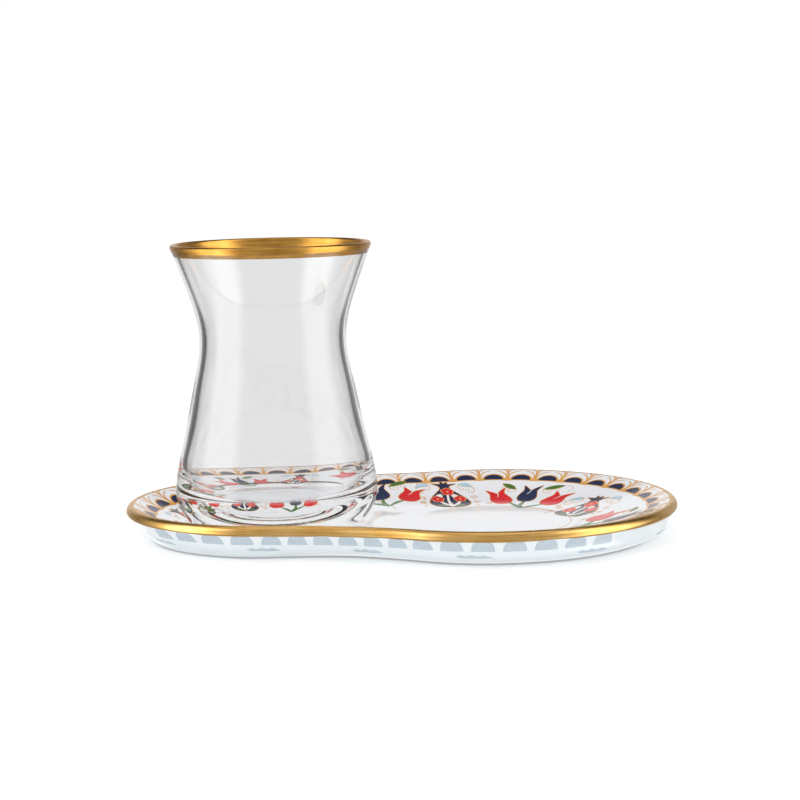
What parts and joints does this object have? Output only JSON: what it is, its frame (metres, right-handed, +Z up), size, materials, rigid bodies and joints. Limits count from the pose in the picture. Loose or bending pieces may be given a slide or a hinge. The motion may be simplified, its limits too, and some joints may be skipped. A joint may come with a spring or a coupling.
{
  "type": "turkish tea glass with two-lobed saucer",
  "caption": "Waisted tea glass with a heavy base, standing in the small well of a long two-lobed glass saucer that has a second well for sweets.",
  "frame": {"origin": "bottom centre of the bounding box: on the table, midway along the saucer", "axes": "+X along the saucer from the glass to the snack well, +Z up"},
  "size_m": [0.1804, 0.12, 0.096],
  "materials": {
    "clear_glass": "clear colourless polished glass",
    "enamelled_glass": null,
    "gilding": "fired bright gold, softly satin, on the rims",
    "enamel": "fired navy, red, green and gold enamel print under glass"
  },
  "bodies": {
    "root": {"saucer": "enamelled_glass", "tea_glass": "clear_glass"}
  },
  "joints": []
}
